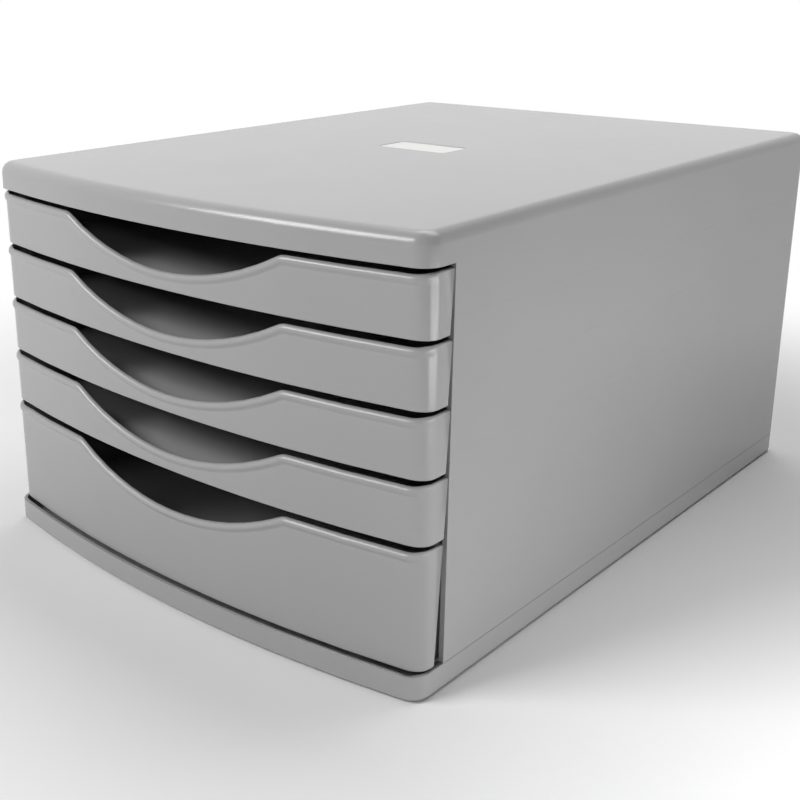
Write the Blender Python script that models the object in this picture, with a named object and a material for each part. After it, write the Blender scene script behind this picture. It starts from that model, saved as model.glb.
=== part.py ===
"""Desktop file drawer unit: a moulded casing and base with five sliding drawers.

Metres, +Z up. The drawer fronts face -Y. The origin is the middle of the rectangle
that the whole unit covers, at the height of the surface that its feet stand on.
"""
import math

import bmesh
import bpy

# Casing: top, sides and back in one moulding
CASING_WIDTH = 0.288
CASING_DEPTH = 0.373            # front edge of the side walls to the back
CASING_WALL = 0.0025
BACK_CORNER_RADIUS = 0.008
TOP_EDGE_RADIUS = 0.006
COVER_LIP_HEIGHT = 0.0143
COVER_LIP_WALL = 0.0028
COVER_LIP_ROOF = 0.003          # thickness of the top over the lip

# Bowed front, shared by the cover lip, the drawer fronts and the base lip
FRONT_REACH = 0.0311            # casing's front edge to the middle of the cover lip
BOW_RISE = 0.0141               # how far the bow stands out over the casing's width
FRONT_CORNER_RADIUS = 0.010
BASE_LIP_PROUD = 0.0013         # base lip beyond the cover lip

# Base plate
BASE_HEIGHT = 0.0121
BASE_FLOOR = 0.0022
BASE_RIM_WALL = 0.0019
BASE_EDGE_RADIUS = 0.0015
LAP_DEPTH = 0.004               # how far the casing reaches down inside the rim
RIB_HEIGHT = 0.005
RIB_THICKNESS = 0.0016
RIB_COUNT = 4

# Rubber feet
FOOT_RADIUS = 0.007
FOOT_PROUD = 0.001
FOOT_RECESS = 0.0012
FOOT_SIDE_INSET = 0.024
FOOT_END_INSET = 0.030

# Drawer stack
DRAWER_PITCH = 0.03018
SHALLOW_DRAWERS = 4
DEEP_SLOT = 0.05968             # lower edge of the deep front to that of the next front
FRONT_GAP = 0.0031              # open line above each drawer front
BASE_GAP = 0.0009               # open line between the base and the lowest front

# Drawer moulding
DRAWER_WALL = 0.0020
DRAWER_FLOOR = 0.0018
FLOOR_RAISE = 0.0008            # floor above the rim that slides on the ledges
SKIRT_DROP = 0.0005             # front's lower edge below that rim
DRAFT = 0.010                   # lean of the walls, metres for each metre of height
EDGE_BREAK = 0.0004
EDGE_RADIUS = 0.0010            # outer top edge where there is no bead
INNER_EDGE_RADIUS = 0.0008
TRAY_CORNER_RADIUS = 0.007
FRONT_SIDE_INSET = 0.0003       # drawer front inside the casing's outline
WING_GAP = 0.0004               # end of the front's side wing to the casing's front edge
WING_LEAN = 0.045               # lean of the wing's end, metres for each metre of height
WING_RISE = 0.0014              # top edge of the wings above that of the front
DEEP_WING_SETBACK = 0.0023      # how much shorter the deep drawer's wings are

# Rolled bead along the front's top edge, and the finger dip that it follows
BEAD_REACH = 0.0013
BEAD_HEIGHT = 0.0048
BEAD_RADIUS = 0.0020
DIP_HALF_WIDTH = 0.0723
DIP_SILL = 0.0089               # height of a shallow front left under the dip
DIP_SHOULDER_RADIUS = 0.010

# Runner ledges, guides and stops
LEDGE_REACH = 0.0065
LEDGE_THICKNESS = 0.002
LEDGE_SETBACK = 0.0015
TRAY_SIDE_CLEARANCE = 0.0018
TRAY_BACK_CLEARANCE = 0.004
RUN_CLEARANCE = 0.0006
STOP_HEIGHT = 0.0016
LUG_SETBACK = 0.004
LUG_LENGTH = 0.006
LUG_REACH = 0.0045
EAR_LENGTH = 0.010
EAR_RAMP = 0.002
EAR_SETBACK = 0.0662            # length of tray that the stops keep in the casing

# Gaps between pieces that touch, and how far a cutter runs past what it cuts
SEAT_GAP = 0.0003
OVERRUN = 0.001

# Facets
DIP_STEPS = 7
SHOULDER_STEPS = 3
BOW_STEPS = 2
CORNER_STEPS = 5
FILLET_STEPS = 4
BEAD_STEPS = 3
FOOT_SIDES = 28

HALF_WIDTH = CASING_WIDTH / 2
BASE_REACH = FRONT_REACH + BASE_LIP_PROUD
SEAM_Y = (BASE_REACH - CASING_DEPTH) / 2
BACK_Y = SEAM_Y + CASING_DEPTH
BOW_RADIUS = (HALF_WIDTH ** 2 + BOW_RISE ** 2) / (2 * BOW_RISE)

BASE_TOP_Z = FOOT_PROUD + BASE_HEIGHT
STACK_Z = BASE_TOP_Z + BASE_GAP
DEEP_TOP_Z = STACK_Z + DEEP_SLOT
LIP_Z = DEEP_TOP_Z + SHALLOW_DRAWERS * DRAWER_PITCH
TOP_Z = LIP_Z + COVER_LIP_HEIGHT
ROOF_Z = TOP_Z - CASING_WALL

SHALLOW_HEIGHT = DRAWER_PITCH - FRONT_GAP
DEEP_HEIGHT = DEEP_SLOT - FRONT_GAP
DIP_DEPTH = SHALLOW_HEIGHT - DIP_SILL
DIP_RADIUS = (DIP_HALF_WIDTH ** 2 + DIP_DEPTH ** 2) / (2 * DIP_DEPTH)
DIP_EDGE_X = math.sqrt(
    (DIP_RADIUS + DIP_SHOULDER_RADIUS) ** 2 - (DIP_RADIUS + DIP_SHOULDER_RADIUS - DIP_DEPTH) ** 2
)
DIP_TANGENT_X = DIP_EDGE_X * DIP_RADIUS / (DIP_RADIUS + DIP_SHOULDER_RADIUS)

INNER_HALF_WIDTH = HALF_WIDTH - CASING_WALL
LEDGE_TIP_X = INNER_HALF_WIDTH - LEDGE_REACH
LEDGE_RISE = SKIRT_DROP - SEAT_GAP      # ledge's top above the front's lower edge
LAP_INSET = BASE_RIM_WALL + SEAT_GAP

CASING_GREY = (0.44, 0.44, 0.435, 1.0)
DRAWER_GREY = (0.40, 0.40, 0.395, 1.0)
RUBBER_BLACK = (0.02, 0.02, 0.02, 1.0)


def clear_scene():
    """Start from an empty scene."""
    for item in list(bpy.data.objects):
        bpy.data.objects.remove(item, do_unlink=True)


def make_material(name, colour, roughness):
    """One Principled material of a plain colour."""
    material = bpy.data.materials.new(name)
    material.use_nodes = True
    shader = material.node_tree.nodes["Principled BSDF"]
    shader.inputs["Base Color"].default_value = colour
    shader.inputs["Roughness"].default_value = roughness
    shader.inputs["Metallic"].default_value = 0
    return material


def finish_object(name, mesh_data, material):
    """Turn a bmesh into a named object in the scene, smooth over its round stretches."""
    bmesh.ops.recalc_face_normals(mesh_data, faces=mesh_data.faces)
    mesh = bpy.data.meshes.new(name)
    mesh_data.to_mesh(mesh)
    mesh_data.free()
    mesh.shade_smooth()
    mesh.set_sharp_from_angle(angle=math.radians(35))
    thing = bpy.data.objects.new(name, mesh)
    bpy.context.scene.collection.objects.link(thing)
    if material:
        mesh.materials.append(material)
    return thing


def loft(rings):
    """Skin a stack of closed rings and cap its ends; points that coincide share a vertex."""
    mesh_data = bmesh.new()
    previous = [mesh_data.verts.new(point) for point in rings[0]]
    mesh_data.faces.new(previous)
    for lower, upper in zip(rings, rings[1:]):
        current = []
        for old, low, high in zip(previous, lower, upper):
            same = max(abs(a - b) for a, b in zip(low, high)) < SEAT_GAP / 1000
            current.append(old if same else mesh_data.verts.new(high))
        for i in range(len(upper)):
            k = (i + 1) % len(upper)
            corners = list(dict.fromkeys((previous[i], previous[k], current[k], current[i])))
            if len(corners) > 2:
                mesh_data.faces.new(corners)
        previous = current
    mesh_data.faces.new(previous)
    return mesh_data


def prism(outline, low, high):
    """A closed outline pushed straight up between two heights."""
    return loft([level(outline, low), level(outline, high)])


def add_box(mesh_data, low, high):
    """Add a separate box to a bmesh, from its lowest to its highest corner."""
    made = bmesh.ops.create_cube(mesh_data, size=1)["verts"]
    size = [b - a for a, b in zip(low, high)]
    middle = [(a + b) / 2 for a, b in zip(low, high)]
    bmesh.ops.scale(mesh_data, vec=size, verts=made)
    bmesh.ops.translate(mesh_data, vec=middle, verts=made)


def apply_boolean(target, tool, operation):
    """Cut or join a helper solid and leave it in the scene as a hidden wire guide."""
    tool.hide_render = True
    tool.display_type = "WIRE"
    modifier = target.modifiers.new(tool.name, "BOOLEAN")
    modifier.operation = operation
    modifier.solver = "EXACT"
    modifier.object = tool


def mirrored(right_half):
    """Close a right half outline, front to back, with its mirror image."""
    left_half = [(-x, y) for x, y in reversed(right_half) if x > 0]
    return right_half + left_half


def mitres(outline):
    """Outward offset of each corner for a wall of unit thickness."""
    normals = []
    for (ax, ay), (bx, by) in zip(outline, outline[1:] + outline[:1]):
        length = math.hypot(bx - ax, by - ay)
        normals.append(((by - ay) / length, (ax - bx) / length))
    offsets = []
    for i, (nx, ny) in enumerate(normals):
        mx, my = normals[i - 1]
        share = 1 / (1 + nx * mx + ny * my)
        offsets.append(((nx + mx) * share, (ny + my) * share))
    return offsets


def grown(outline, distance):
    """An outline pushed outwards, or inwards with a negative distance."""
    return [(x + mx * distance, y + my * distance) for (x, y), (mx, my) in zip(outline, mitres(outline))]


def level(outline, height):
    """A flat ring at one height."""
    return [(x, y, height) for x, y in outline]


def arc(centre, radius, start, end, steps):
    """Points on an arc, angles in radians anticlockwise from +X, both ends included."""
    turn = (end - start) / steps
    return [
        (centre[0] + radius * math.cos(start + turn * i), centre[1] + radius * math.sin(start + turn * i))
        for i in range(steps + 1)
    ]


def corner_limit(half_width, reach, spare):
    """Largest plan corner that leaves the front's short side straight for a spare length."""
    slope = math.asin(half_width / BOW_RADIUS)
    side = reach - (BOW_RADIUS - math.sqrt(BOW_RADIUS ** 2 - half_width ** 2))
    return (side - spare) / math.tan((math.pi / 2 - slope) / 2)


def bowed_half(half_width, reach, spare):
    """Right half of a bowed front: from its middle, round the corner to the side."""
    radius = min(FRONT_CORNER_RADIUS, corner_limit(half_width, reach, spare))
    centre_y = SEAM_Y - reach + BOW_RADIUS
    corner_x = half_width - radius
    corner_y = centre_y - math.sqrt((BOW_RADIUS - radius) ** 2 - corner_x ** 2)
    bow_end_x = corner_x * BOW_RADIUS / (BOW_RADIUS - radius)
    stations = [DIP_TANGENT_X * i / DIP_STEPS for i in range(DIP_STEPS + 1)]
    shoulder = (DIP_EDGE_X - DIP_TANGENT_X) / SHOULDER_STEPS
    stations += [DIP_TANGENT_X + shoulder * i for i in range(1, SHOULDER_STEPS + 1)]
    stretch = (bow_end_x - DIP_EDGE_X) / BOW_STEPS
    stations += [DIP_EDGE_X + stretch * i for i in range(1, BOW_STEPS)]
    bow = [(x, centre_y - math.sqrt(BOW_RADIUS ** 2 - x ** 2)) for x in stations]
    turn_start = math.atan2(corner_y - centre_y, corner_x)
    return bow + arc((corner_x, corner_y), radius, turn_start, 0, CORNER_STEPS)


def back_corner(half_width, back_y, radius):
    """Right back corner of an outline as an arc."""
    return arc((half_width - radius, back_y - radius), radius, 0, math.pi / 2, FILLET_STEPS)


def box_outline(half_width, front_y, back_y):
    """Plain rectangle seen from above."""
    return [(-half_width, front_y), (half_width, front_y), (half_width, back_y), (-half_width, back_y)]


def drawer_bottoms():
    """Lower edge of each drawer front, top drawer first."""
    shallow = [DEEP_TOP_Z + DRAWER_PITCH * i for i in reversed(range(SHALLOW_DRAWERS))]
    return shallow + [STACK_Z]


def ledge_tops():
    """Top of each runner ledge from the lowest up, ending with the guide over the top drawer."""
    return [z + LEDGE_RISE for z in reversed(drawer_bottoms())] + [LIP_Z + LEDGE_RISE]


def make_casing(material):
    """One-piece shell: lap joint, side walls, bowed cover lip and rounded top edge."""
    side_half = [(HALF_WIDTH, SEAM_Y)] + back_corner(HALF_WIDTH, BACK_Y, BACK_CORNER_RADIUS)
    front_half = bowed_half(HALF_WIDTH, FRONT_REACH, COVER_LIP_WALL)
    flat_half = [(x, SEAM_Y) for x, y in front_half[:-1]] + [(HALF_WIDTH, SEAM_Y)]
    cover = mirrored(front_half + side_half)
    body = mirrored(flat_half + side_half)
    body_core = grown(mirrored(side_half), -LAP_INSET)
    lap_half = body_core[:len(side_half)]
    lap_front = [(min(x, lap_half[0][0]), lap_half[0][1]) for x, y in flat_half]
    lap = mirrored(lap_front + lap_half)
    wall_z = BASE_TOP_Z + SEAT_GAP
    rings = [
        level(lap, wall_z - LAP_DEPTH),
        level(lap, wall_z),
        level(body, wall_z),
        level(body, LIP_Z),
        level(cover, LIP_Z),
    ]
    for i in range(FILLET_STEPS + 1):
        turn = math.pi / 2 * i / FILLET_STEPS
        inset = TOP_EDGE_RADIUS * (1 - math.cos(turn))
        height = TOP_Z - TOP_EDGE_RADIUS * (1 - math.sin(turn))
        rings.append(level(grown(cover, -inset), height))
    casing = finish_object("casing_shell", loft(rings), material)
    apply_boolean(casing, drawer_bay(), "DIFFERENCE")
    apply_boolean(casing, lip_hollow(), "DIFFERENCE")
    apply_boolean(casing, bottom_opening(wall_z), "DIFFERENCE")
    apply_boolean(casing, runner_ledges(), "UNION")
    apply_boolean(casing, stop_lugs(), "UNION")
    return casing


def drawer_bay():
    """Space inside the walls, from the lowest ledge up to the roof."""
    half = [(INNER_HALF_WIDTH, SEAM_Y - OVERRUN)]
    half += back_corner(INNER_HALF_WIDTH, BACK_Y - CASING_WALL, BACK_CORNER_RADIUS - CASING_WALL)
    return finish_object("bay_cutter", prism(mirrored(half), ledge_tops()[0], ROOF_Z), None)


def runner_ledges():
    """Ledges along both side walls; the highest pair only guides the top drawer."""
    mesh_data = bmesh.new()
    for top in ledge_tops()[1:]:
        for side in (-1, 1):
            tip = side * LEDGE_TIP_X
            root = side * (INNER_HALF_WIDTH + CASING_WALL / 2)
            low = (min(tip, root), SEAM_Y + LEDGE_SETBACK, top - LEDGE_THICKNESS)
            high = (max(tip, root), BACK_Y - BACK_CORNER_RADIUS, top)
            add_box(mesh_data, low, high)
    return finish_object("ledge_guide", mesh_data, None)


def lip_hollow():
    """Space behind the bowed cover lip."""
    lip_half = bowed_half(HALF_WIDTH, FRONT_REACH, COVER_LIP_WALL)
    outline = mirrored(lip_half + [(HALF_WIDTH, SEAM_Y + COVER_LIP_WALL + OVERRUN)])
    inside = grown(outline, -COVER_LIP_WALL)
    return finish_object("lip_cutter", prism(inside, LIP_Z - OVERRUN, TOP_Z - COVER_LIP_ROOF), None)


def bottom_opening(wall_z):
    """Way out below the lowest ledge, which leaves a flange round the sides and back."""
    flange_y = BACK_Y - CASING_WALL - LEDGE_REACH
    outline = box_outline(LEDGE_TIP_X, SEAM_Y - OVERRUN, flange_y)
    cutter = prism(outline, wall_z - LAP_DEPTH - OVERRUN, ledge_tops()[0] + OVERRUN)
    return finish_object("bottom_cutter", cutter, None)


def stop_lugs():
    """Small lugs under each ledge that hold a pulled drawer back by its ears."""
    mesh_data = bmesh.new()
    front_y = SEAM_Y + LUG_SETBACK
    for top in ledge_tops()[1:]:
        under = top - LEDGE_THICKNESS
        for side in (-1, 1):
            inner = side * (INNER_HALF_WIDTH - LUG_REACH)
            outer = side * (INNER_HALF_WIDTH + CASING_WALL / 2)
            low = (min(inner, outer), front_y, under - STOP_HEIGHT)
            high = (max(inner, outer), front_y + LUG_LENGTH, under + LEDGE_THICKNESS / 2)
            add_box(mesh_data, low, high)
    return finish_object("lug_guide", mesh_data, None)


def make_base(material):
    """Base plate: a shallow dish with a bowed lip, stiffening ribs and foot recesses."""
    front_half = bowed_half(HALF_WIDTH, BASE_REACH, BASE_RIM_WALL)
    outline = mirrored(front_half + back_corner(HALF_WIDTH, BACK_Y, BACK_CORNER_RADIUS))
    rings = []
    for i in range(FILLET_STEPS + 1):
        turn = math.pi / 2 * i / FILLET_STEPS
        inset = BASE_EDGE_RADIUS * (1 - math.sin(turn))
        height = FOOT_PROUD + BASE_EDGE_RADIUS * (1 - math.cos(turn))
        rings.append(level(grown(outline, -inset), height))
    rings += [
        level(outline, BASE_TOP_Z - EDGE_BREAK),
        level(grown(outline, -EDGE_BREAK), BASE_TOP_Z),
        level(grown(outline, -BASE_RIM_WALL), BASE_TOP_Z),
        level(grown(outline, -BASE_RIM_WALL), FOOT_PROUD + BASE_FLOOR),
    ]
    base = finish_object("base_plate", loft(rings), material)
    apply_boolean(base, base_ribs(), "UNION")
    apply_boolean(base, foot_recesses(), "DIFFERENCE")
    return base


def base_ribs():
    """Low cross ribs that stiffen the base plate under the deep drawer."""
    mesh_data = bmesh.new()
    floor_z = FOOT_PROUD + BASE_FLOOR
    step = CASING_DEPTH / (RIB_COUNT + 1)
    for i in range(1, RIB_COUNT + 1):
        middle_y = SEAM_Y + step * i
        low = (-LEDGE_TIP_X, middle_y - RIB_THICKNESS / 2, floor_z - BASE_FLOOR / 2)
        high = (LEDGE_TIP_X, middle_y + RIB_THICKNESS / 2, floor_z + RIB_HEIGHT)
        add_box(mesh_data, low, high)
    return finish_object("rib_guide", mesh_data, None)


def foot_places():
    """Name and middle of each foot."""
    x = HALF_WIDTH - FOOT_SIDE_INSET
    ends = {"front": SEAM_Y + FOOT_END_INSET, "back": BACK_Y - FOOT_END_INSET}
    sides = {"left": -x, "right": x}
    return {f"foot_{end}_{side}": (sides[side], ends[end]) for end in ends for side in sides}


def round_pad(mesh_data, centre, radius, low, high, edge=0):
    """A short round disc with an optional chamfer round its lower edge."""
    turns = [2 * math.pi * i / FOOT_SIDES for i in range(FOOT_SIDES)]
    unit = [(math.cos(turn), math.sin(turn)) for turn in turns]
    layers = [(radius - edge, low), (radius, low + edge), (radius, high)] if edge else [(radius, low), (radius, high)]
    rows = []
    for size, height in layers:
        rows.append([mesh_data.verts.new((centre[0] + a * size, centre[1] + b * size, height)) for a, b in unit])
    for lower, upper in zip(rows, rows[1:]):
        for i in range(FOOT_SIDES):
            k = (i + 1) % FOOT_SIDES
            mesh_data.faces.new((lower[i], lower[k], upper[k], upper[i]))
    mesh_data.faces.new(rows[0])
    mesh_data.faces.new(rows[-1])


def foot_recesses():
    """Round pockets in the underside for the feet."""
    mesh_data = bmesh.new()
    for centre in foot_places().values():
        round_pad(mesh_data, centre, FOOT_RADIUS + SEAT_GAP, FOOT_PROUD - OVERRUN, FOOT_PROUD + FOOT_RECESS)
    return finish_object("recess_cutter", mesh_data, None)


def make_feet(material):
    """Four rubber pads that stand a little proud of the base."""
    for name, centre in foot_places().items():
        mesh_data = bmesh.new()
        top = FOOT_PROUD + FOOT_RECESS - SEAT_GAP
        round_pad(mesh_data, centre, FOOT_RADIUS, 0, top, edge=EDGE_BREAK)
        finish_object(name, mesh_data, material)


def dip_drop(x):
    """How far the top edge lies below the front's top, and the edge's slope there."""
    x = abs(x)
    if x >= DIP_EDGE_X:
        return 0, 0
    if x > DIP_TANGENT_X:
        run = DIP_EDGE_X - x
        rise = math.sqrt(DIP_SHOULDER_RADIUS ** 2 - run ** 2)
        return DIP_SHOULDER_RADIUS - rise, run / rise
    rise = math.sqrt(DIP_RADIUS ** 2 - x ** 2)
    return DIP_DEPTH - DIP_RADIUS + rise, x / rise


def bead_left(step):
    """Share of the bead that is left at a step of the corner arc, along which it fades out."""
    return (1 + math.cos(math.pi * max(step, 0) / CORNER_STEPS)) / 2


def drawer_stations(bottom, height, wing_gap):
    """Right half of a drawer's outline.

    Each station holds its place, its lean towards the front, the bead share, the top edge,
    the slope of that edge and the lower edge.
    """
    front_top = bottom + height
    ledge_over = front_top + FRONT_GAP + LEDGE_RISE - LEDGE_THICKNESS
    tray_top = ledge_over - RUN_CLEARANCE - STOP_HEIGHT
    rim = bottom + SKIRT_DROP
    half_width = HALF_WIDTH - FRONT_SIDE_INSET
    wing_end = wing_gap + WING_LEAN * height + DRAWER_WALL
    front = bowed_half(half_width, FRONT_REACH - FRONT_SIDE_INSET, wing_end)
    corner_start = len(front) - 1 - CORNER_STEPS
    stations = []
    for i, (x, y) in enumerate(front):
        drop, slope = dip_drop(x)
        bead = bead_left(i - corner_start)
        top = front_top - drop + WING_RISE * (1 - bead)
        stations.append(((x, y), 0, bead, top, slope, bottom))
    wing_y = SEAM_Y - wing_gap
    wing_top = front_top + WING_RISE
    tray_x = INNER_HALF_WIDTH - TRAY_SIDE_CLEARANCE
    stations.append(((half_width, wing_y), WING_LEAN, 0, wing_top, 0, bottom))
    stations.append(((tray_x, wing_y), WING_LEAN, 0, tray_top, 0, rim))
    tray_back = BACK_Y - CASING_WALL - TRAY_BACK_CLEARANCE
    ear_y = tray_back - EAR_SETBACK
    ear = [(ear_y - SEAT_GAP / 3, 0), (ear_y, STOP_HEIGHT)]
    ear += [(ear_y + EAR_LENGTH, STOP_HEIGHT), (ear_y + EAR_LENGTH + EAR_RAMP, 0)]
    for y, rise in ear:
        stations.append(((tray_x, y), 0, 0, tray_top + rise, 0, rim))
    for place in back_corner(tray_x, tray_back, TRAY_CORNER_RADIUS):
        stations.append((place, 0, 0, tray_top, 0, rim))
    return stations


def wall_profile(bead, top, slope, lower, floor_under):
    """Section of a drawer wall as (outward, height), from the floor over the edge to the skirt.

    Under a full bead the wall's outer face lies one bead reach inside the outline; as the
    bead fades, the face comes out to the outline. Where the edge slopes, the bead is
    stretched so that it keeps its width square to the edge.
    """
    face = -BEAD_REACH * bead
    inner = face - DRAWER_WALL
    radius = EDGE_RADIUS + (BEAD_RADIUS - EDGE_RADIUS) * bead
    stretch = math.sqrt(1 + slope ** 2)
    points = [
        (inner, floor_under + DRAWER_FLOOR),
        (inner, top - INNER_EDGE_RADIUS * stretch),
        (inner + INNER_EDGE_RADIUS, top),
    ]
    for i in range(BEAD_STEPS + 1):
        turn = math.pi / 2 * i / BEAD_STEPS
        points.append((-radius * (1 - math.sin(turn)), top - radius * stretch * (1 - math.cos(turn))))
    for i in range(1, BEAD_STEPS + 1):
        share = i / BEAD_STEPS
        out = face * (1 - math.cos(math.pi * share)) / 2
        points.append((out, top - stretch * (radius + share * (BEAD_HEIGHT - radius))))
    points += [(face, lower + EDGE_BREAK), (face - EDGE_BREAK, lower), (inner, lower), (inner, floor_under)]
    return points


def make_drawer(name, bottom, height, wing_gap, material):
    """One moulding: floor, tray walls, and the bowed front with its bead and finger dip."""
    half = drawer_stations(bottom, height, wing_gap)
    left = [((-place[0], place[1]), *rest) for place, *rest in reversed(half) if place[0] > 0]
    stations = half + left
    outline = [station[0] for station in stations]
    floor_under = bottom + SKIRT_DROP + FLOOR_RAISE
    columns = []
    for (x, y), (mx, my), (_, lean, *section) in zip(outline, mitres(outline), stations):
        column = []
        for out, z in wall_profile(*section, floor_under):
            depth = bottom + height - z
            out -= DRAFT * depth
            column.append((x + mx * out, y + my * out - lean * depth, z))
        columns.append(column)
    return finish_object(name, loft([list(ring) for ring in zip(*columns)]), material)


def main():
    """Build the whole unit."""
    clear_scene()
    casing_grey = make_material("casing_grey", CASING_GREY, 0.45)
    drawer_grey = make_material("drawer_grey", DRAWER_GREY, 0.45)
    rubber = make_material("foot_rubber", RUBBER_BLACK, 0.8)
    make_casing(casing_grey)
    make_base(casing_grey)
    make_feet(rubber)
    *shallow, deepest = drawer_bottoms()
    for i, bottom in enumerate(shallow, start=1):
        make_drawer(f"drawer_{i}", bottom, SHALLOW_HEIGHT, WING_GAP, drawer_grey)
    deep_wing_gap = WING_GAP + DEEP_WING_SETBACK
    make_drawer(f"drawer_{SHALLOW_DRAWERS + 1}", deepest, DEEP_HEIGHT, deep_wing_gap, drawer_grey)


main()
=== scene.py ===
# %% [markdown]
# # A desktop drawer unit in satin plastic
#
# The real unit is a stack of injection mouldings: a casing, a base and five drawers. The
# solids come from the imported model, so this script never moves them. It lays a smooth skin
# over each one, gives every moulding its finish, lets a small plate into the top, and sets
# up a studio.

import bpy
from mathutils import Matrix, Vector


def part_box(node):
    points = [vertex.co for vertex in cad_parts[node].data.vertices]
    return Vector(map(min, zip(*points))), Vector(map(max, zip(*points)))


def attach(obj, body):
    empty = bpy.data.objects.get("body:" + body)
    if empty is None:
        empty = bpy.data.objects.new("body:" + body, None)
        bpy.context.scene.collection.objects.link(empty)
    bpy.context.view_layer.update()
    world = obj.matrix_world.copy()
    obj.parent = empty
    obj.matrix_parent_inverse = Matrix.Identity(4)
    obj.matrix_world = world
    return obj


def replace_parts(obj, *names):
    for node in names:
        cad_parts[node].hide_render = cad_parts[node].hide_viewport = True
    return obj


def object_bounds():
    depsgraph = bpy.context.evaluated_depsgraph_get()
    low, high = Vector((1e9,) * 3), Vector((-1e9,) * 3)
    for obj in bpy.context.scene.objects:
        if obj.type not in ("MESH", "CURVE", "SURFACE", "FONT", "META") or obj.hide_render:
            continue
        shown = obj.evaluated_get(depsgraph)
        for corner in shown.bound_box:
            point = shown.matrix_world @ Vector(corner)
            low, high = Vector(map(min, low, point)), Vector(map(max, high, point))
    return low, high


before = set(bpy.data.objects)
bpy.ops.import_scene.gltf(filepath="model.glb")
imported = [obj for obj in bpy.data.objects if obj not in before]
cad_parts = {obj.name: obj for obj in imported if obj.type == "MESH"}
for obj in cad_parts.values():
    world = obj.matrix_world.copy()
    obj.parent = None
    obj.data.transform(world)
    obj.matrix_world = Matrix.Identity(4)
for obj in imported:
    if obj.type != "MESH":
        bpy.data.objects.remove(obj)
CAD_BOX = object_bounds()
print("solids:", ", ".join(sorted(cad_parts)))

# %% [markdown]
# ## Tools and driving sizes
#
# Everything is in metres. Places are read from the nodes' own boxes, so that a piece made
# here follows the solids when these change.

# %% Modules, the object's box and the nodes' names
import math

import bmesh
import bpy
from mathutils import Matrix, Vector

LOW, HIGH = [Vector(corner) for corner in CAD_BOX]
WIDTH, DEPTH, HEIGHT = HIGH - LOW
DRAWERS = sorted(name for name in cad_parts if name.startswith("drawer_"))
FEET = sorted(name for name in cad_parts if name.startswith("foot_"))
print(f"unit {WIDTH:.3f} x {DEPTH:.3f} x {HEIGHT:.3f} m")
print(f"{len(DRAWERS)} drawers and {len(FEET)} feet")

# %% [markdown]
# ## The camera
#
# The photographer stood close, to the right of the unit and above it, so the near corner
# looks large and the verticals lean together. A camera can be pointed with Track To or by
# angles. Angles are used here, because yaw, pitch and roll are what a fit to a photograph
# gives. The three turns are multiplied as matrices: the roll about the view line comes
# first, then the tilt, then the turn about Z. The photograph is a cut-out that was trimmed
# off centre, so its view line doesn't pass through the middle of the picture. The lens shift
# puts it back where it was. The angles are in radians and the lens is in millimetres.

# %% Camera with the photograph's viewpoint
CAMERA_PLACE = (0.41123, -0.55899, 0.30726)
CAMERA_YAW = 0.73720
CAMERA_PITCH = 0.28741
CAMERA_ROLL = -0.00551
CAMERA_LENS = 54.38
CAMERA_SHIFT = (0.12873, -0.09414)
SENSOR_WIDTH = 36

camera_data = bpy.data.cameras.new("photo_camera")
camera_data.sensor_width = SENSOR_WIDTH
camera_data.lens = CAMERA_LENS
camera_data.shift_x, camera_data.shift_y = CAMERA_SHIFT
camera = bpy.data.objects.new("photo_camera", camera_data)
bpy.context.scene.collection.objects.link(camera)
camera.location = CAMERA_PLACE
aim = (
    Matrix.Rotation(CAMERA_YAW, 3, "Z")
    @ Matrix.Rotation(math.pi / 2 - CAMERA_PITCH, 3, "X")
    @ Matrix.Rotation(CAMERA_ROLL, 3, "Z")
)
camera.rotation_mode = "XYZ"
camera.rotation_euler = aim.to_euler("XYZ")
bpy.context.scene.camera = camera
bpy.context.scene.view_settings.view_transform = "Standard"
print(f"camera {Vector(CAMERA_PLACE).length:.2f} m from the origin")

# %% [markdown]
# ## Nodes by one small function
#
# A shader is a graph. One helper adds any node, sets what it is given and links its inputs,
# so that each material below reads as a list of steps. Colours are written as the sRGB hex
# values that an eye would pick, and one function turns them into the linear values that
# Blender mixes. A Mix node holds one set of sockets for numbers, one for vectors and one for
# colours, all with the same labels, so its colour sockets are found by their places.


# %% Helpers for colours and shader nodes
SRGB_TOE = 0.04045
MIX_FACTOR, MIX_FIRST, MIX_SECOND = 0, 6, 7
MIX_RESULT = 2


def linear(hex_colour):
    """Linear RGBA of an sRGB hex colour such as 8f8f8c: a straight toe, then a power curve."""
    shares = [int(hex_colour[i:i + 2], 16) / 255 for i in (0, 2, 4)]
    return (*[s / 12.92 if s <= SRGB_TOE else ((s + 0.055) / 1.055) ** 2.4 for s in shares], 1)


def add(tree, kind, inputs=(), **settings):
    """Add a shader node. An input is given the output that feeds it, or a value. A setting
    is an attribute of the node or, by its label, the value of an input."""
    node = tree.nodes.new(kind)
    for key, value in settings.items():
        if hasattr(node, key):
            setattr(node, key, value)
        else:
            node.inputs[key.replace("_", " ")].default_value = value
    for label, source in dict(inputs).items():
        if isinstance(source, bpy.types.NodeSocket):
            tree.links.new(source, node.inputs[label])
        else:
            node.inputs[label].default_value = source
    return node


def new_material(name, **look):
    """A material, its node tree and its Principled shader, whose inputs are set by label."""
    material = bpy.data.materials.new(name)
    material.use_nodes = True
    shader = material.node_tree.nodes["Principled BSDF"]
    for label, value in look.items():
        shader.inputs[label.replace("_", " ")].default_value = value
    return material, material.node_tree, shader


print("grey 8f8f8f is", [round(c, 3) for c in linear("8f8f8f")])

# %% [markdown]
# ## The floor
#
# The floor is one pale plane that only has to catch the shadow. Near the unit it is a plain
# lit floor. Farther out the lamps no longer reach it, so there a Light Path node lets the
# camera see white, while the light that the floor throws back stays that of a pale table.
# What the camera sees in a shiny surface or through glass counts as seen.

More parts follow.
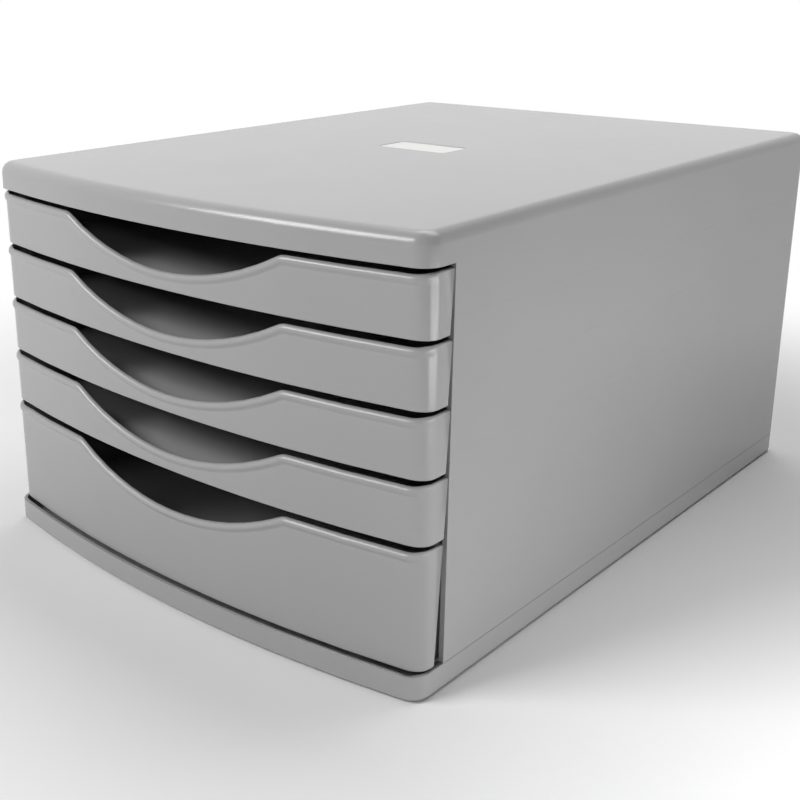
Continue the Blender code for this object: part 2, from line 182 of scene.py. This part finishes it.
# %% Floor
FLOOR_HALF = 20.0
FLOOR_WHITE = "f1f1f1"
FLOOR_ROUGHNESS = 0.9
SHADOW_REACH = 0.24
SHADOW_END = 0.60
WHITE = (1, 1, 1, 1)


def eye_ray(tree):
    """1 for what the camera sees, and 0 for light on its way from one surface to another."""
    path = add(tree, "ShaderNodeLightPath").outputs
    seen = path["Is Camera Ray"]
    for other in ("Is Glossy Ray", "Is Transmission Ray"):
        either = {0: seen, 1: path[other]}
        seen = add(tree, "ShaderNodeMath", either, operation="MAXIMUM").outputs[0]
    return seen


def floor_paint():
    """A lit matt white near the unit, and plain white for the camera farther out."""
    material, tree, shader = new_material(
        "matt_white_table_paint", Base_Color=linear(FLOOR_WHITE), Roughness=FLOOR_ROUGHNESS,
        Specular_IOR_Level=0,
    )
    place = add(tree, "ShaderNodeTexCoord").outputs["Object"]
    away = add(tree, "ShaderNodeVectorMath", {0: place}, operation="LENGTH").outputs["Value"]
    far = add(
        tree, "ShaderNodeMapRange", {"Value": away}, interpolation_type="SMOOTHSTEP",
        From_Min=SHADOW_REACH, From_Max=SHADOW_END,
    ).outputs["Result"]
    glow = add(tree, "ShaderNodeMath", {0: far, 1: eye_ray(tree)}, operation="MULTIPLY")
    white = add(tree, "ShaderNodeEmission", Color=WHITE)
    sources = [glow.outputs[0], shader.outputs[0], white.outputs[0]]
    blend = add(tree, "ShaderNodeMixShader", enumerate(sources))
    tree.links.new(blend.outputs[0], tree.nodes["Material Output"].inputs["Surface"])
    return material


def make_floor():
    """A wide plane at the height that the feet stand on."""
    sheet = bmesh.new()
    bmesh.ops.create_grid(sheet, x_segments=1, y_segments=1, size=FLOOR_HALF)
    mesh = bpy.data.meshes.new("studio_floor")
    sheet.to_mesh(mesh)
    sheet.free()
    mesh.materials.append(floor_paint())
    floor = bpy.data.objects.new("studio_floor", mesh)
    bpy.context.scene.collection.objects.link(floor)


make_floor()
print(f"floor {2 * FLOOR_HALF:.0f} m wide, plain white from {SHADOW_END:.2f} m outwards")

# %% [markdown]
# ## The world
#
# The world behind the floor is white to the camera in the same way. To everything else it is
# very dim, so that the lamps alone shape the light on the unit, and its open trays stay dark
# inside as they do in the photograph.

# %% World
WORLD_LIGHT = 0.02


def make_world():
    """White to the camera, a dim even light to everything else."""
    world = bpy.data.worlds.new("studio_world")
    world.use_nodes = True
    bpy.context.scene.world = world
    tree = world.node_tree
    seen = eye_ray(tree)
    strength = add(tree, "ShaderNodeMapRange", {"Value": seen}, To_Min=WORLD_LIGHT, To_Max=1)
    background = tree.nodes["Background"]
    background.inputs["Color"].default_value = WHITE
    tree.links.new(strength.outputs["Result"], background.inputs["Strength"])


make_world()
print(f"the world lights the unit at a strength of {WORLD_LIGHT}")

# %% [markdown]
# ## Lamps
#
# The highlights tell where the light was. A thin bright line runs along the rounded front
# edge of the cover and along every bead: it is the image of one strong soft box, high at the
# front left. Above that line the edge turns dark before the bright top begins, so nothing
# hung over the front. The overhead box therefore stands back, where it lights the top and
# some of the back wall, and no rounded edge mirrors it. The side fades towards its back and
# its upper edge, so a small weak box stands low and close to its front end.


# %% Area lamps
def add_lamp(name, place, target, size, power):
    """A rectangular soft box, width by height in metres, that looks at a point."""
    data = bpy.data.lights.new(name, "AREA")
    data.shape = "RECTANGLE"
    data.size, data.size_y = size
    data.energy = power
    lamp = bpy.data.objects.new(name, data)
    bpy.context.scene.collection.objects.link(lamp)
    lamp.location = place
    beam = Vector(target) - Vector(place)
    lamp.rotation_euler = beam.to_track_quat("-Z", "Y").to_euler()
    print(f"{name}: {power} W at {beam.length:.2f} m")


UNIT_MIDDLE = (0, 0, 0.1)
COVER_EDGE = (0.08, -0.2, 0.2)
SIDE_FRONT_END = (0.144, -0.1, 0.05)
add_lamp("overhead_box", place=(0, 0.6, 1.6), target=UNIT_MIDDLE, size=(1.5, 1.0), power=16.5)
add_lamp("strip_box", place=(-0.55, -1.15, 0.97), target=COVER_EDGE, size=(0.75, 0.55), power=16)
add_lamp("side_box", place=(0.45, -0.15, 0.06), target=SIDE_FRONT_END, size=(0.3, 0.1), power=0.56)

# %% [markdown]
# ## Moulded polystyrene
#
# High-impact polystyrene from an eroded mould is a satin grey. Three noises make it look
# moulded and not painted: slow clouds in the colour where the melt flowed, slower changes in
# the gloss, and a fine grain as a bump. Noise scales are given as cells to the metre, so a
# scale of 2500 is a grain of 0.4 mm. The real grain is finer, but drawn finer it would only
# flicker at this distance. Object coordinates are used because they are in metres and don't
# depend on an unwrapped mesh.
#
# The eroded grain also scatters what the surface would mirror at a low angle, so the
# specular level is set under that of a polished plastic. Without this the side and the top
# would look chalky towards the back, where they are seen most edge-on. The roughness is low
# enough that a lamp still shows in a rounded edge as a line with a clear outline.

# %% The plastics
GREY = "a4a4a4"
SATIN = 0.23
POLYSTYRENE_IOR = 1.55
ERODED_SPECULAR = 0.4
CLOUD_SCALE, CLOUD_SPREAD = 14, 0.03
GLOSS_SCALE, GLOSS_SPREAD = 30, 0.04
GRAIN_SCALE, GRAIN_STRENGTH, GRAIN_DEPTH = 2500, 0.25, 0.00008


def moulded_plastic(name):
    """Satin injection-moulded polystyrene with clouds, gloss changes and a fine grain."""
    material, tree, shader = new_material(
        name, IOR=POLYSTYRENE_IOR, Specular_IOR_Level=ERODED_SPECULAR
    )
    place = add(tree, "ShaderNodeTexCoord").outputs["Object"]
    clouds = add(tree, "ShaderNodeTexNoise", {"Vector": place}, Scale=CLOUD_SCALE, Detail=2)
    darker, lighter = [
        (*[share * tone for share in linear(GREY)[:3]], 1)
        for tone in (1 - CLOUD_SPREAD, 1 + CLOUD_SPREAD)
    ]
    colours = {MIX_FACTOR: clouds.outputs["Fac"], MIX_FIRST: darker, MIX_SECOND: lighter}
    colour = add(tree, "ShaderNodeMix", colours, data_type="RGBA")
    tree.links.new(colour.outputs[MIX_RESULT], shader.inputs["Base Color"])
    sheen = add(tree, "ShaderNodeTexNoise", {"Vector": place}, Scale=GLOSS_SCALE, Detail=3)
    gloss = add(
        tree, "ShaderNodeMapRange", {"Value": sheen.outputs["Fac"]},
        To_Min=SATIN - GLOSS_SPREAD, To_Max=SATIN + GLOSS_SPREAD,
    )
    tree.links.new(gloss.outputs["Result"], shader.inputs["Roughness"])
    grain = add(tree, "ShaderNodeTexNoise", {"Vector": place}, Scale=GRAIN_SCALE, Detail=2)
    relief = add(
        tree, "ShaderNodeBump", {"Height": grain.outputs["Fac"]},
        Strength=GRAIN_STRENGTH, Distance=GRAIN_DEPTH,
    )
    tree.links.new(relief.outputs["Normal"], shader.inputs["Normal"])
    return material


casing_plastic = moulded_plastic("injection_moulded_polystyrene_casing")
drawer_plastic = moulded_plastic("injection_moulded_polystyrene_drawer")
print("plastics:", casing_plastic.name, drawer_plastic.name)

# %% [markdown]
# ## Level lines on the side walls
#
# Faint level lines run along the real side walls, one for each shallow drawer. They are sink
# marks of the ledges inside. A shader can draw them with no geometry: the height above the
# floor is folded by the lines' pitch with a ping-pong, what lies near the fold becomes a
# shallow groove in a bump, and a noise breaks it up. The normal limits it to the faces that
# look sideways.

# %% Lines in the casing's bump
LINE_PITCH = 0.0305
LINE_FIRST = 0.080
LINE_COUNT = 4
LINE_WIDTH = 0.0009
LINE_DEPTH = 0.00009
LINE_BREAKS = 60


def level_lines(material):
    """Chain a second bump, with the lines in it, after the grain."""
    tree = material.node_tree
    shader = tree.nodes["Principled BSDF"]
    coordinates = add(tree, "ShaderNodeTexCoord").outputs
    place = coordinates["Object"]
    up = add(tree, "ShaderNodeSeparateXYZ", {0: place}).outputs["Z"]
    lifted = add(tree, "ShaderNodeMath", {0: up, 1: LINE_FIRST}, operation="SUBTRACT").outputs[0]
    folded = add(tree, "ShaderNodeMath", {0: lifted, 1: LINE_PITCH / 2}, operation="PINGPONG")
    line = add(
        tree, "ShaderNodeMapRange", {"Value": folded.outputs[0]},
        interpolation_type="SMOOTHSTEP", From_Max=LINE_WIDTH, To_Min=1, To_Max=0,
    )
    middle = LINE_FIRST + LINE_PITCH * (LINE_COUNT - 1) / 2
    reach = LINE_PITCH * LINE_COUNT / 2
    offset = add(tree, "ShaderNodeMath", {0: up, 1: middle}, operation="SUBTRACT").outputs[0]
    away = add(tree, "ShaderNodeMath", {0: offset}, operation="ABSOLUTE").outputs[0]
    inside = add(tree, "ShaderNodeMath", {0: away, 1: reach}, operation="LESS_THAN")
    facing = add(tree, "ShaderNodeSeparateXYZ", {0: coordinates["Normal"]}).outputs["X"]
    sideways = add(tree, "ShaderNodeMath", {0: facing}, operation="ABSOLUTE")
    broken = add(tree, "ShaderNodeTexNoise", {"Vector": place}, Scale=LINE_BREAKS, Detail=2)
    height = line.outputs["Result"]
    for factor in (inside.outputs[0], sideways.outputs[0], broken.outputs["Fac"]):
        pair = {0: height, 1: factor}
        height = add(tree, "ShaderNodeMath", pair, operation="MULTIPLY").outputs[0]
    relief = {"Height": height, "Normal": shader.inputs["Normal"].links[0].from_socket}
    groove = add(tree, "ShaderNodeBump", relief, invert=True, Distance=LINE_DEPTH)
    tree.links.new(groove.outputs["Normal"], shader.inputs["Normal"])


level_lines(casing_plastic)
print(f"{LINE_COUNT} lines, {LINE_PITCH * 1000:.1f} mm apart, on {casing_plastic.name}")

# %% [markdown]
# ## Painted shade in the seam
#
# The casing meets the base in a fine seam that reads darker than its width allows, because shade
# falls into it, and that shade is painted into the colour here. A Compare node gives 1 within a
# small distance of the seam's height, and that factor mixes a greyer tone, the painted shade, into
# the plastic. The height comes from the base's own box, so the line stays on the seam.

# %% A darker line along the seam
SEAM_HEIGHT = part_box("base_plate")[1][2]
SEAM_HALF = 0.0003
# painted shade: this greyer tone stands in for the shade that falls into the seam
SEAM_SHADE_TONE = "8a8a89"


def seam_painted_shade(material):
    """Mix a greyer tone, painted shade, into a narrow band at the seam's height."""
    tree = material.node_tree
    shader = tree.nodes["Principled BSDF"]
    place = add(tree, "ShaderNodeTexCoord").outputs["Object"]
    up = add(tree, "ShaderNodeSeparateXYZ", {0: place}).outputs["Z"]
    band = {0: up, 1: SEAM_HEIGHT, 2: SEAM_HALF}
    near = add(tree, "ShaderNodeMath", band, operation="COMPARE").outputs[0]
    unshaded = shader.inputs["Base Color"].links[0].from_socket
    # painted shade: the seam band gets the greyer tone in place of the plastic's own colour
    colours = {MIX_FACTOR: near, MIX_FIRST: unshaded, MIX_SECOND: linear(SEAM_SHADE_TONE)}
    seam_shaded = add(tree, "ShaderNodeMix", colours, data_type="RGBA")
    tree.links.new(seam_shaded.outputs[MIX_RESULT], shader.inputs["Base Color"])


seam_painted_shade(casing_plastic)
print(f"seam at {SEAM_HEIGHT * 1000:.1f} mm")

# %% [markdown]
# ## Foot rubber
#
# Moulded rubber is nearly black and scatters so widely that it shows hardly any highlight.
# Dust and talc from the mould turn it greyer in patches of about a centimetre.

# %% The rubber
RUBBER_DARK = "1a1a1a"
RUBBER_DUSTY = "2b2b2a"
RUBBER_ROUGHNESS = 0.85
RUBBER_SPECULAR = 0.4
DUST_SCALE = 100


def moulded_rubber(name):
    """Matt black rubber with a trace of dust."""
    material, tree, shader = new_material(
        name, Roughness=RUBBER_ROUGHNESS, Specular_IOR_Level=RUBBER_SPECULAR
    )
    place = add(tree, "ShaderNodeTexCoord").outputs["Object"]
    dust = add(tree, "ShaderNodeTexNoise", {"Vector": place}, Scale=DUST_SCALE, Detail=4)
    black, grey = linear(RUBBER_DARK), linear(RUBBER_DUSTY)
    colours = {MIX_FACTOR: dust.outputs["Fac"], MIX_FIRST: black, MIX_SECOND: grey}
    colour = add(tree, "ShaderNodeMix", colours, data_type="RGBA")
    tree.links.new(colour.outputs[MIX_RESULT], shader.inputs["Base Color"])
    return material


rubber = moulded_rubber("compression_moulded_rubber")
print("rubber:", rubber.name)

# %% [markdown]
# ## A smooth skin for each solid
#
# A node arrives as loose triangles, so its round edges would be shaded flat. Its copy is
# welded, and triangles that lie in one plane are dissolved into whole faces. Then smooth
# shading works, but only with weighted normals: without them the large flat faces would
# bend their shading towards the small round ones beside them.

# %% Welded and smoothed copies
WELD = 0.00002
FLAT_ANGLE = math.radians(0.1)
SHARP_ANGLE = math.radians(38)


def welded(name):
    """The node's triangles as one joined mesh, flat parts dissolved into whole faces."""
    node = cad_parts[name]
    shape = bmesh.new()
    shape.from_mesh(node.data)
    shape.transform(node.matrix_world)
    bmesh.ops.remove_doubles(shape, verts=shape.verts, dist=WELD)
    bmesh.ops.dissolve_limit(
        shape, angle_limit=FLAT_ANGLE, verts=shape.verts, edges=shape.edges
    )
    return shape


def as_piece(shape, name, body, material):
    """Turn a bmesh into a smooth piece that rides with a body."""
    mesh = bpy.data.meshes.new(name)
    shape.to_mesh(mesh)
    shape.free()
    mesh.shade_smooth()
    mesh.set_sharp_from_angle(angle=SHARP_ANGLE)
    mesh.materials.append(material)
    piece = bpy.data.objects.new(name, mesh)
    bpy.context.scene.collection.objects.link(piece)
    normals = piece.modifiers.new("even_shading", "WEIGHTED_NORMAL")
    normals.keep_sharp = True
    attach(piece, body)
    print(f"{name}: {len(mesh.polygons)} faces")
    return piece


def add_skin(name, body, material):
    """Lay a smooth skin over one solid."""
    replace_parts(as_piece(welded(name), name + "_skin", body, material), name)


print(f"corners under {math.degrees(SHARP_ANGLE):.0f} degrees are shaded smooth")

# %% [markdown]
# ## Skins of the drawers, the feet and the base
#
# Each skin rides with the body of the solid that it stands for: a drawer moves on its own
# body, and the base and the feet stay with the casing. The casing itself comes later,
# because its top gets a recess first.

# %% Skins that need no more work
for name in DRAWERS:
    add_skin(name, name, drawer_plastic)
for name in FEET:
    add_skin(name, "casing", rubber)
add_skin("base_plate", "casing", casing_plastic)

# %% [markdown]
# ## Picking, rounding and cutting
#
# The recess and the plate need the same few steps. Upright edges are picked by how far they
# rise. A bevel rounds them, and its profile and material are spelled out because the
# operator's defaults differ from the editor's. A cut takes only the faces at the very top,
# because a cut through the whole casing would run down its walls too.

# %% Helpers for the recess and the plate
PLATE_CORNER = 0.003
CORNER_SEGMENTS = 5


def rising(edges, height):
    """Those of the edges that rise more than half of a height."""
    return [e for e in edges if abs(e.verts[0].co.z - e.verts[1].co.z) > height / 2]


def round_off(shape, edges, radius, segments):
    """Round edges with a bevel whose profile is an arc."""
    bmesh.ops.bevel(
        shape, geom=edges, offset=radius, offset_type="OFFSET", segments=segments,
        profile=0.5, affect="EDGES", material=-1,
    )


def cut_top(shape, axis, place):
    """Cut the faces at the very top along a line across one axis."""
    point, normal = Vector(), Vector()
    point[axis], normal[axis] = place, 1
    flat = [f for f in shape.faces if abs(f.calc_center_median().z - HIGH.z) < WELD]
    edges = dict.fromkeys(edge for face in flat for edge in face.edges)
    verts = dict.fromkeys(vert for face in flat for vert in face.verts)
    bmesh.ops.bisect_plane(shape, geom=[*flat, *edges, *verts], plane_co=point, plane_no=normal)


print(f"corners of {PLATE_CORNER * 1000:.0f} mm get {CORNER_SEGMENTS} segments")

# %% [markdown]
# ## The casing and the recess for its plate
#
# The casing gets a skin like the rest, and a shallow pocket in its top. The flat top is one
# face after the weld. Four cuts across it leave a rectangle in the middle, one inset with a
# depth sinks that rectangle between slightly drafted walls, and a bevel rounds the corners
# of the pocket. Every step is an operator, so the pocket follows the casing's size.

# %% Casing skin with a pocket
PLATE_SIZE = (0.045, 0.024)
PLATE_MIDDLE = (0.001, 0.0)
POCKET_DEPTH = 0.0006
POCKET_DRAFT = 0.00008
POCKET_PLAY = 0.0002


def sink_pocket(shape, low, high):
    """Cut a rectangle out of the flat top and sink it."""
    for axis in (0, 1):
        for corner in (low, high):
            cut_top(shape, axis, corner[axis])
    middle = Vector(((low[0] + high[0]) / 2, (low[1] + high[1]) / 2, HIGH.z))
    pocket = min(shape.faces, key=lambda face: (face.calc_center_median() - middle).length)
    bmesh.ops.inset_individual(
        shape, faces=[pocket], thickness=POCKET_DRAFT, depth=-POCKET_DEPTH
    )
    beside = dict.fromkeys(face for edge in pocket.edges for face in edge.link_faces)
    walls = dict.fromkeys(edge for face in beside if face != pocket for edge in face.edges)
    upright = rising(walls, POCKET_DEPTH)
    round_off(shape, upright, PLATE_CORNER, CORNER_SEGMENTS)
    return len(upright)


half = [size / 2 + POCKET_PLAY for size in PLATE_SIZE]
pocket_low = [c - h for c, h in zip(PLATE_MIDDLE, half)]
pocket_high = [c + h for c, h in zip(PLATE_MIDDLE, half)]
casing_shape = welded("casing_shell")
corners = sink_pocket(casing_shape, pocket_low, pocket_high)
casing_skin = as_piece(
    casing_shape, "casing_shell_skin", "casing", casing_plastic
)
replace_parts(casing_skin, "casing_shell")
print(f"pocket {POCKET_DEPTH * 1000:.1f} mm deep with {corners} rounded corners")

# %% [markdown]
# ## The bare plate
#
# A thin plate of brushed aluminium lies in the pocket, a hair below the top, so that things
# put on the unit don't catch it. Brushing leaves long scratches one way, which spread a
# highlight and break it up. A noise stretched by a Mapping node gives them: many cells to
# the metre across the stroke and few along it. Real scratches are some hundredths of a
# millimetre apart; here they are a quarter of a millimetre, because finer ones would only
# flicker at this distance.

# %% Plate
PLATE_THICKNESS = 0.0004
PLATE_EDGE = 0.00012
EDGE_SEGMENTS = 2
ALUMINIUM = "d2d2d0"
SMOOTHEST, ROUGHEST = 0.28, 0.42
STROKE_ACROSS, STROKE_ALONG = 4000, 60
STROKE_STRENGTH, STROKE_DEPTH = 0.3, 0.00001


def brushed_aluminium(name):
    """Anodised aluminium, brushed along X."""
    material, tree, shader = new_material(name, Base_Color=linear(ALUMINIUM), Metallic=1)
    place = add(tree, "ShaderNodeTexCoord").outputs["Object"]
    scale = (STROKE_ALONG, STROKE_ACROSS, STROKE_ACROSS)
    stretched = add(tree, "ShaderNodeMapping", {"Vector": place}, Scale=scale).outputs[0]
    noise = add(tree, "ShaderNodeTexNoise", {"Vector": stretched}, Scale=1, Detail=2)
    strokes = noise.outputs["Fac"]
    gloss = add(
        tree, "ShaderNodeMapRange", {"Value": strokes}, To_Min=SMOOTHEST, To_Max=ROUGHEST
    )
    tree.links.new(gloss.outputs["Result"], shader.inputs["Roughness"])
    relief = add(
        tree, "ShaderNodeBump", {"Height": strokes},
        Strength=STROKE_STRENGTH, Distance=STROKE_DEPTH,
    )
    tree.links.new(relief.outputs["Normal"], shader.inputs["Normal"])
    return material


def make_plate():
    """A rounded plate in the pocket: a scaled cube with round corners and a broken top edge."""
    plate = bmesh.new()
    bmesh.ops.create_cube(plate, size=1)
    bmesh.ops.scale(plate, vec=(*PLATE_SIZE, PLATE_THICKNESS), verts=plate.verts)
    half_way = HIGH.z - POCKET_DEPTH + PLATE_THICKNESS / 2
    bmesh.ops.translate(plate, vec=(*PLATE_MIDDLE, half_way), verts=plate.verts)
    round_off(plate, rising(plate.edges, PLATE_THICKNESS), PLATE_CORNER, CORNER_SEGMENTS)
    rim = [edge for edge in plate.edges if min(vert.co.z for vert in edge.verts) > half_way]
    round_off(plate, rim, PLATE_EDGE, EDGE_SEGMENTS)
    return plate


aluminium = brushed_aluminium("brushed_anodised_aluminium")
as_piece(make_plate(), "top_plate", "casing", aluminium)

# %% [markdown]
# ## The solids under the skins
#
# The solids are hidden behind their skins, but they still carry a finish, so that a solid
# that is shown alone looks right too.

# %% Finish of the solids
FINISHES = {**dict.fromkeys(FEET, rubber), **dict.fromkeys(DRAWERS, drawer_plastic)}
for name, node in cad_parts.items():
    finish = FINISHES.get(name, casing_plastic)
    node.data.materials.clear()
    node.data.materials.append(finish)
    print(name, "gets", finish.name)
